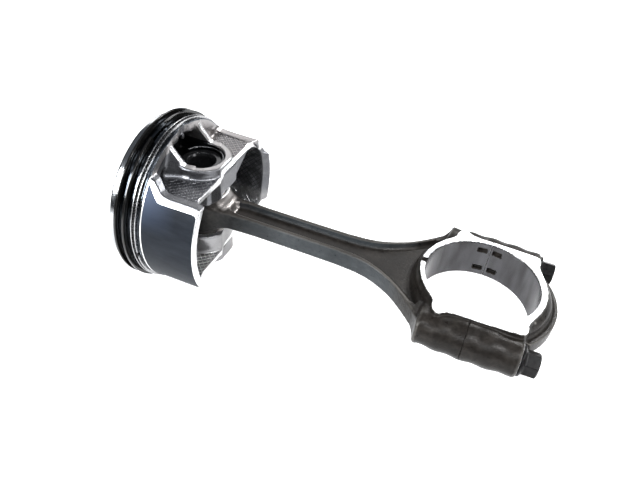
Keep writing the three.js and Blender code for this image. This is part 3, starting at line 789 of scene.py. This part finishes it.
# ------------------------------------------------------------------ node helpers
class Field:
    """A node output. Arithmetic on it adds nodes to its graph."""

    def __init__(self, graph, socket):
        self.graph = graph
        self.socket = socket

    def __add__(self, other):
        return self.graph.math("ADD", self, other)

    def __sub__(self, other):
        return self.graph.math("SUBTRACT", self, other)

    def __rsub__(self, other):
        return self.graph.math("SUBTRACT", other, self)

    def __mul__(self, other):
        return self.graph.math("MULTIPLY", self, other)

    def __abs__(self):
        return self.graph.math("ABSOLUTE", self)

    def sin(self):
        return self.graph.math("SINE", self)

    def length_with(self, other):
        return self.graph.math("SQRT", self * self + other * other)

    def remap(self, over, to=(0.0, 1.0)):
        """Maps the first range to the second and clamps."""
        values = dict(enumerate((self, *over, *to)))
        return self.graph.field("MapRange", values, clamp=True)

    def pick(self, off, on):
        """The value `off` where this is 0 and `on` where it is 1."""
        return self.graph.field("Mix", {0: self, 2: off, 3: on}, data_type="FLOAT")

    def tint(self, off, on):
        """The same for colours."""
        return self.graph.field("Mix", {0: self, 6: off, 7: on}, output=2, data_type="RGBA")

    def colours(self, stops):
        """Colour ramp from {position: colour}."""
        node = self.graph.node("ValToRGB", {0: self})
        elements = node.color_ramp.elements
        while len(elements) < len(stops):
            elements.new(0.5)
        for element, (position, colour) in zip(elements, stops.items()):
            element.position = position
            element.color = (*colour, 1)
        return Field(self.graph, node.outputs[0])

    def xyz(self):
        node = self.graph.node("SeparateXYZ", {0: self})
        return [Field(self.graph, output) for output in node.outputs]

    def scaled(self, *scale):
        return self.graph.field("Mapping", {"Vector": self, "Scale": scale})

    def noise(self, scale, detail=3.0, rough=0.55):
        values = {"Vector": self, "Scale": scale, "Detail": detail, "Roughness": rough}
        return self.graph.field("TexNoise", values, output="Fac")

    def bump(self, strength, distance, under=None):
        """Normal from this height. Distance is in metres, `under` is a normal to add to."""
        values = {"Height": self, "Strength": strength, "Distance": distance}
        if under is not None:
            values["Normal"] = under
        return self.graph.field("Bump", values)


class Graph:
    """The node tree of a material or world, started empty."""

    def __init__(self, owner):
        owner.use_nodes = True
        self.tree = owner.node_tree
        self.tree.nodes.clear()

    def put(self, socket, value):
        if isinstance(value, Field):
            self.tree.links.new(value.socket, socket)
        else:
            socket.default_value = (*value, 1.0) if socket.type == "RGBA" else value

    def node(self, kind, inputs, **settings):
        node = self.tree.nodes.new("ShaderNode" + kind)
        for key, value in settings.items():
            setattr(node, key, value)
        for key, value in inputs.items():
            self.put(node.inputs[key], value)
        return node

    def field(self, kind, inputs, output=0, **settings):
        return Field(self, self.node(kind, inputs, **settings).outputs[output])

    def math(self, operation, a, b=0.0, clamp=False):
        return self.field("Math", {0: a, 1: b}, operation=operation, use_clamp=clamp)

    def attribute(self, name, output="Fac"):
        return self.field("Attribute", {}, output=output, attribute_name=name)


class Material(Graph):
    INPUTS = dict(color="Base Color", metal="Metallic", rough="Roughness", normal="Normal",
                  spec="Specular IOR Level", glow="Emission Color",
                  glow_strength="Emission Strength")

    def __init__(self, name):
        self.material = bpy.data.materials.new(name)
        super().__init__(self.material)
        self.shader = self.node("BsdfPrincipled", {})
        self.node("OutputMaterial", {0: Field(self, self.shader.outputs[0])})

    def surface(self, **values):
        for key, value in values.items():
            self.put(self.shader.inputs[self.INPUTS[key]], value)
        return self.material

    def point(self):
        """Place in the pin frame, mm."""
        return self.attribute("pin_mm", output="Vector")


# ------------------------------------------------------------------ materials
def cast_colour(mat, point, fine, inner):
    """Cast skin with random tone and grey boss faces, plus painted light on the far and rear
    walls and painted shade inside the skirts, the pockets and the pin bore.
    """
    _, y, z = point.xyz()
    big = point.noise(scale=0.09, detail=4, rough=0.6)
    color = (big * 0.6 + fine * 0.4).colours({
        0.3: (0.075, 0.077, 0.084), 0.52: (0.13, 0.132, 0.14), 0.75: (0.22, 0.22, 0.225)})
    # painted shade: the inner faces of the skirts are darkened
    color = (inner.remap(over=(0.4, 0.6)) * 0.7).tint(off=color, on=(0.035, 0.035, 0.037))
    # painted light: the outer wall faces on the far side are paler
    far_wall_light = y.remap(over=(3.0, 16.0)) * abs(z).remap(over=(24.0, 24.8), to=(0.0, 0.5))
    color = far_wall_light.tint(off=color, on=(0.42, 0.39, 0.38))
    # painted reflection: faces towards the rear, beyond z -9, are paler
    rear = z.remap(over=(-9.0, -13.0), to=(0.0, 0.30))
    color = rear.tint(off=color, on=(0.60, 0.59, 0.58))
    faces = mat.attribute("ringface").remap(over=(-0.05, 0.15))
    color = faces.tint(off=color, on=(0.28, 0.27, 0.27))
    # painted shadow where the dark mask is set: in the pockets and the pin bore
    shadow = big.colours({0.35: (0.010, 0.009, 0.008), 0.65: (0.030, 0.032, 0.038)})
    return mat.attribute("dark").remap(over=(-0.1, 0.3)).tint(off=color, on=shadow)


def turned_colour(point, axis_r, land):
    """Bright turned metal, with painted shade on the ring lands and on the far side, and a
    painted highlight on the top land.
    """
    x, y, _ = point.xyz()
    color = point.noise(scale=0.5, detail=3).colours({
        0.3: (0.84, 0.84, 0.85), 0.7: (0.93, 0.93, 0.935)})
    # painted shade: the ring lands are darkened where the rings shade them
    land_shade_color = point.noise(scale=0.5, detail=3).colours({
        0.3: (0.045, 0.052, 0.062), 0.7: (0.075, 0.085, 0.098)})
    # painted shade: the turned faces on the far side are darker
    far_side_shade = y.remap(over=(2.0, 10.0), to=(0.0, 0.75)) * axis_r.remap(over=(42.6, 43.3))
    color = far_side_shade.tint(off=color, on=(0.16, 0.155, 0.15))
    color = land.tint(off=color, on=land_shade_color)
    # painted highlight: the top land is paler, as if lit by a light panel
    crown = x.remap(over=(-24.2, -24.5), to=(0.0, 0.45))
    return crown.tint(off=color, on=(0.80, 0.81, 0.82))


def coat_colour(point, speck):
    """Dark skirt coating, with a painted bluish sheen towards its upper front corners."""
    x, _, z = point.xyz()
    wear = point.scaled(0.25, 1, 1).noise(scale=0.35, detail=4, rough=0.6)
    color = (speck * 0.35 + wear * 0.65).colours({
        0.35: (0.009, 0.011, 0.015), 0.6: (0.014, 0.017, 0.022), 0.8: (0.025, 0.029, 0.037)})
    # painted sheen: bluer and paler towards the upper front corners
    corner = z.remap(over=(8.0, 24.0)) * x.remap(over=(9.0, -7.0), to=(0.0, 0.8))
    return corner.tint(off=color, on=(0.050, 0.066, 0.105))


def diamond_pattern(mat, point, inner):
    """Crossed diagonal bands. On the skirts they run round the bore."""
    pitch = 2.3    # mm
    x, y, z = point.xyz()
    arc = mat.math("ARCTAN2", z, abs(y)) * SKIRT_INNER_R
    across = inner.pick(off=y, on=arc)
    diagonals = (x * 0.7071 + across * 0.7071, x * 0.7071 - across * 0.7071)
    bands = [abs((d * (math.pi / pitch)).sin()).remap(over=(0.18, 0.5)) for d in diagonals]
    diamonds = mat.math("MINIMUM", *bands)
    patchy = point.noise(scale=0.12, detail=2).remap(over=(0.42, 0.6), to=(0.15, 0.9))
    zone = mat.math("ADD", mat.attribute("waffle").remap(over=(0.4, 0.6)),
                    inner.remap(over=(0.4, 0.6)) * patchy, clamp=True)
    return diamonds, zone


def piston_material():
    mat = Material("cast_and_turned_aluminium")
    point = mat.point()
    x, y, z = point.xyz()
    inner = mat.attribute("inner")
    machined = mat.attribute("mach").remap(over=(-0.04, 0.10))
    coat = mat.attribute("coat").remap(over=(0.12, -0.12))
    land = x.remap(over=(-9.35, -9.55))
    axis_r = y.length_with(z)
    fine = point.noise(scale=1.6, detail=4, rough=0.6)
    jitter = point.scaled(1, 0.15, 0.15).noise(scale=3.0, detail=2)
    speck = point.noise(scale=6.0, detail=3, rough=0.7)

    color = machined.tint(off=cast_colour(mat, point, fine, inner),
                          on=turned_colour(point, axis_r, land))
    color = coat.tint(off=color, on=coat_colour(point, speck))
    diamonds, zone = diamond_pattern(mat, point, inner)
    groove = inner.tint(off=(0.045, 0.045, 0.052), on=(0.30, 0.31, 0.33))
    color = (diamonds * zone * 0.72).tint(off=color, on=groove)

    turned_rough = land.pick(off=jitter.remap(over=(0.3, 0.7), to=(0.24, 0.36)),
                             on=jitter.remap(over=(0.3, 0.7), to=(0.11, 0.17)))
    rough = machined.pick(off=fine.remap(over=(0.25, 0.75), to=(0.24, 0.38)), on=turned_rough)
    rough = coat.pick(off=rough, on=speck.remap(over=(0.3, 0.7), to=(0.40, 0.54)))
    metal = coat.pick(off=machined.pick(off=0.92, on=land.pick(off=0.9, on=1.0)), on=0.1)

    # feed marks run along X on round faces and in rings on end faces
    feed = mat.attribute("ends").remap(over=(0.4, 0.6)).pick(off=x, on=axis_r)
    feed_marks = (feed * 24.0).sin()
    as_cast = (1.0 - machined) * (1.0 - coat)
    rough_skin = (point.noise(scale=1.1, detail=5, rough=0.65)
                  + point.noise(scale=0.25, detail=2) * 1.5)
    normal = (rough_skin * as_cast).bump(strength=0.4, distance=0.00016)
    normal = (diamonds * (zone * -1.0)).bump(strength=0.8, distance=0.0003, under=normal)
    marks = feed_marks * (machined * (1.0 - coat))
    normal = marks.bump(strength=0.14, distance=0.00001, under=normal)
    normal = (speck * coat).bump(strength=0.22, distance=0.00003, under=normal)
    return mat.surface(color=color, metal=metal, rough=rough, normal=normal,
                       spec=coat.pick(off=0.5, on=0.07))


def rod_material():
    mat = Material("forged_steel_rod")
    point = mat.point()
    x, y, z = point.xyz()
    machined = mat.attribute("mach").remap(over=(0.35, 0.65))
    bore = mat.attribute("bore").remap(over=(0.35, 0.65))
    big = point.noise(scale=0.06, detail=4, rough=0.6)
    mid = point.noise(scale=0.4, detail=4, rough=0.6)

    def from_crankpin():
        dx = x - CRANK_X
        return dx, dx.length_with(y)

    # forged skin: on the shank, faces turned towards +Y or -Y are greyer than the pockets
    tone = big * 0.6 + mid * 0.4
    dark = tone.colours({
        0.32: (0.005, 0.0042, 0.0036), 0.5: (0.011, 0.0094, 0.0080),
        0.68: (0.025, 0.0215, 0.0185)})
    grey = tone.colours({
        0.32: (0.019, 0.022, 0.024), 0.55: (0.032, 0.036, 0.039), 0.75: (0.054, 0.058, 0.061)})
    flank = mat.attribute("flank").remap(over=(0.55, 0.9))
    shank = x.remap(over=(120.0, 112.0)) * x.remap(over=(12.0, 34.0), to=(0.2, 1.0))
    color = (flank * shank).tint(off=dark, on=grey)
    # convex edges get a painted highlight, except at the parting plane and the bore
    dx, crank_r = from_crankpin()
    pointiness = mat.field("NewGeometry", {}, output="Pointiness")
    edge = pointiness.remap(over=(0.512, 0.56), to=(0.0, 0.6))
    edge = edge * (abs(dx).remap(over=(0.7, 1.2)) * crank_r.remap(over=(29.0, 30.0)))
    color = edge.tint(off=color, on=(0.20, 0.19, 0.175))
    # the fillet that closes the pocket at the small end is polished metal, and paler where it
    # faces +X: a painted highlight
    fillet = mat.attribute("toward").remap(over=(0.25, 0.5)) * x.remap(over=(28.0, 24.0))
    fillet = fillet * (x.remap(over=(10.5, 13.0)) * abs(y).remap(over=(8.0, 6.0)))
    color = (fillet * 0.62).tint(off=color, on=(0.34, 0.32, 0.31))

    # machined faces, and a big-end bore darkened as painted shade
    bright = point.noise(scale=0.7, detail=3).colours({
        0.3: (0.86, 0.86, 0.865), 0.7: (0.93, 0.93, 0.935)})
    bore_shade = point.scaled(1, 1, 0.3).noise(scale=0.12, detail=2).colours({
        0.3: (0.060, 0.058, 0.060), 0.7: (0.125, 0.125, 0.132)})
    color = machined.tint(off=color, on=bore.tint(off=bright, on=bore_shade))
    machined_rough = bore.pick(off=mid.remap(over=(0.3, 0.7), to=(0.28, 0.38)), on=0.26)
    rough = machined.pick(off=mid.remap(over=(0.3, 0.7), to=(0.26, 0.42)), on=machined_rough)
    metal = machined.pick(off=fillet.pick(off=0.1, on=0.85), on=bore.pick(off=0.45, on=1.0))

    peen = mat.field("TexVoronoi", {"Vector": point, "Scale": 1.5}, output="Distance")
    grain = peen * -0.8 + point.noise(scale=0.55, detail=4, rough=0.6) * 1.3
    normal = (grain * (1.0 - machined)).bump(strength=0.45, distance=0.00016)
    _, ring_r = from_crankpin()
    feed_marks = (bore.pick(off=ring_r, on=z) * 22.0).sin()
    normal = (feed_marks * machined).bump(strength=0.1, distance=0.000008, under=normal)
    return mat.surface(color=color, metal=metal, rough=rough, normal=normal,
                       spec=machined.pick(off=0.15, on=0.5))


def plain_metal(name, dark, light, rough, metal=1.0, scale=0.8, bump=0.2, depth=0.00003,
                marks=None, spec=0.5):
    """Mottled metal. `marks` is the frequency of turning marks along Z, radians per mm."""
    mat = Material(name)
    point = mat.point()
    mottle = point.noise(scale=scale, detail=4, rough=0.6)
    height = point.noise(scale=scale * 4, detail=3)
    if marks is not None:
        _, _, z = point.xyz()
        height = height * 0.5 + (z * marks).sin() * 0.5
    return mat.surface(
        color=mottle.colours({0.32: dark, 0.68: light}),
        rough=mottle.remap(over=(0.3, 0.7), to=rough),
        metal=metal, spec=spec, normal=height.bump(strength=bump, distance=depth))


def dress(material, *objects):
    for ob in objects:
        ob.data.materials.clear()
        ob.data.materials.append(material)


# ------------------------------------------------------------------ build the parts
piston = build_piston()
rod, cap = build_rod_and_cap()
bolts = build_bolts()
rings, rails, expander = build_rings()
pin, bush = build_pin_and_bush()
clips = [circlip("circlip_front", CIRCLIP_Z), circlip("circlip_rear", -CIRCLIP_Z)]

dress(piston_material(), piston)
dress(rod_material(), rod, cap)
dress(plain_metal("black_oxide_bolt", dark=(0.004, 0.004, 0.0045), light=(0.011, 0.0105, 0.0105),
                  rough=(0.26, 0.4), metal=0.3, scale=0.9, bump=0.3, depth=0.00005, spec=0.12),
      *bolts)
dress(plain_metal("nitrided_ring", dark=(0.005, 0.005, 0.005), light=(0.009, 0.0085, 0.008),
                  rough=(0.11, 0.15), metal=0.3, scale=0.25, bump=0.04, depth=0.000003), *rings)
dress(plain_metal("rail_steel", dark=(0.30, 0.30, 0.305), light=(0.42, 0.42, 0.425),
                  rough=(0.2, 0.3), bump=0.1, depth=0.000006), *rails)
dress(plain_metal("expander_steel", dark=(0.10, 0.10, 0.105), light=(0.17, 0.17, 0.175),
                  rough=(0.26, 0.38), scale=1.2, bump=0.1, depth=0.00001), expander)
# the pin is coloured near black: painted shade for its place deep in the bore
dress(plain_metal("shaded_pin_steel", dark=(0.010, 0.010, 0.011), light=(0.020, 0.020, 0.021),
                  rough=(0.16, 0.24), metal=0.6, scale=0.5, bump=0.06, depth=0.000005,
                  marks=26.0), pin)
dress(plain_metal("bronze_bush", dark=(0.30, 0.19, 0.09), light=(0.44, 0.29, 0.15),
                  rough=(0.28, 0.4)), bush)
dress(plain_metal("clip_wire", dark=(0.05, 0.05, 0.052), light=(0.12, 0.12, 0.125),
                  rough=(0.16, 0.26), scale=1.4), *clips)


# ------------------------------------------------------------------ floor, lights, world
FLOOR_HALF = 7.0         # metres
FLOOR_GLOW_SEEN = 0.72   # emission seen by the camera
FLOOR_GLOW_CAST = 0.5    # emission that lights the parts


def build_floor():
    mesh = bpy.data.meshes.new("floor")
    f = FLOOR_HALF
    mesh.from_pydata([(-f, -f, 0), (f, -f, 0), (f, f, 0), (-f, f, 0)], [], [(0, 1, 2, 3)])
    floor = add_object("floor", mesh)
    mat = Material("pale_floor")
    place = mat.field("TexCoord", {}, output="Object")
    seen = mat.field("LightPath", {}, output="Is Camera Ray")
    pale = place.noise(scale=3.0, detail=3).colours({
        0.3: (0.84, 0.84, 0.84), 0.7: (0.87, 0.87, 0.87)})
    mesh.materials.append(mat.surface(
        color=pale, rough=0.6, spec=0.1, glow=(1, 1, 1),
        glow_strength=seen.pick(off=FLOOR_GLOW_CAST, on=FLOOR_GLOW_SEEN)))


WHITE, COOL, COOLER = (1, 1, 1), (0.96, 0.98, 1.0), (0.95, 0.97, 1.0)
# name, place, target, (width, height) in metres, watts, colour
LIGHTS = [
    ("key_behind", (0.12, 0.66, 0.60), (0.03, 0, 0.03), (0.75, 0.45), 2.6, WHITE),
    ("wide_behind", (-0.52, 0.62, 0.56), (-0.06, 0, 0.04), (0.50, 0.40), 1.7, WHITE),
    ("strip_front", (0.10, -0.46, 0.58), (0.0, 0, 0.05), (0.60, 0.06), 2.6, COOLER),
    ("streak", (-0.366, -0.450, 0.395), (-0.095, -0.035, 0.075), (0.10, 0.28), 6.0, COOL),
    ("glint_behind", (0.26, 0.50, 0.45), (-0.055, 0, 0.05), (0.13, 0.13), 2.4, WHITE),
    ("glint_right", (0.37, -0.16, 0.44), (-0.055, 0, 0.05), (0.10, 0.10), 2.0, WHITE),
    ("right", (0.72, 0.02, 0.22), (0.0, 0, 0.03), (0.25, 0.25), 2.0, WHITE),
]


def build_lights():
    for name, place, target, size, watts, colour in LIGHTS:
        light = bpy.data.lights.new(name, "AREA")
        light.shape = "RECTANGLE"
        light.size, light.size_y = size
        light.energy = watts
        light.color = colour
        ob = add_object(name, light)
        ob.location = place
        aim = Vector(target) - Vector(place)
        ob.rotation_euler = aim.to_track_quat("-Z", "Y").to_euler()


def build_world():
    """White to the camera. The parts see a dim grey gradient."""
    world = bpy.data.worlds.new("studio")
    bpy.context.scene.world = world
    graph = Graph(world)
    _, _, height = graph.field("TexCoord", {}, output="Generated").xyz()
    grey = height.colours({0.0: (0.030, 0.032, 0.037), 1.0: (0.17, 0.18, 0.20)})
    dim = graph.field("Background", {"Color": grey, "Strength": 1.0})
    white = graph.field("Background", {"Color": (1, 1, 1), "Strength": 1.0})
    seen = graph.field("LightPath", {}, output="Is Camera Ray")
    mixed = graph.field("MixShader", {0: seen, 1: dim, 2: white})
    graph.node("OutputWorld", {0: mixed})


# ------------------------------------------------------------------ camera
CAMERA_PLACE = (141.16535277, -224.94337571, 196.36581131)   # pin frame, mm
CAMERA_AXES = np.array([                                     # pin frame
    [0.92176543, 0.37732421, 0.08930247],     # right
    [-0.30572869, 0.56559171, 0.76592166],    # up
    [0.23849205, -0.73330244, 0.63670172],    # backwards
])


def build_camera():
    data = bpy.data.cameras.new("camera")
    camera = add_object("camera", data)
    data.sensor_fit = "HORIZONTAL"
    data.sensor_width = 36.0
    data.lens = 33.736725
    data.clip_start, data.clip_end = 0.01, 20
    matrix = Matrix((PIN_TO_MODEL @ CAMERA_AXES.T).tolist()).to_4x4()
    matrix.translation = to_model(CAMERA_PLACE).tolist()
    camera.matrix_world = matrix
    bpy.context.scene.camera = camera


build_floor()
build_lights()
build_world()
build_camera()
bpy.context.scene.view_settings.view_transform = "Standard"
bpy.context.scene.view_settings.look = "None"

bpy.context.view_layer.update()
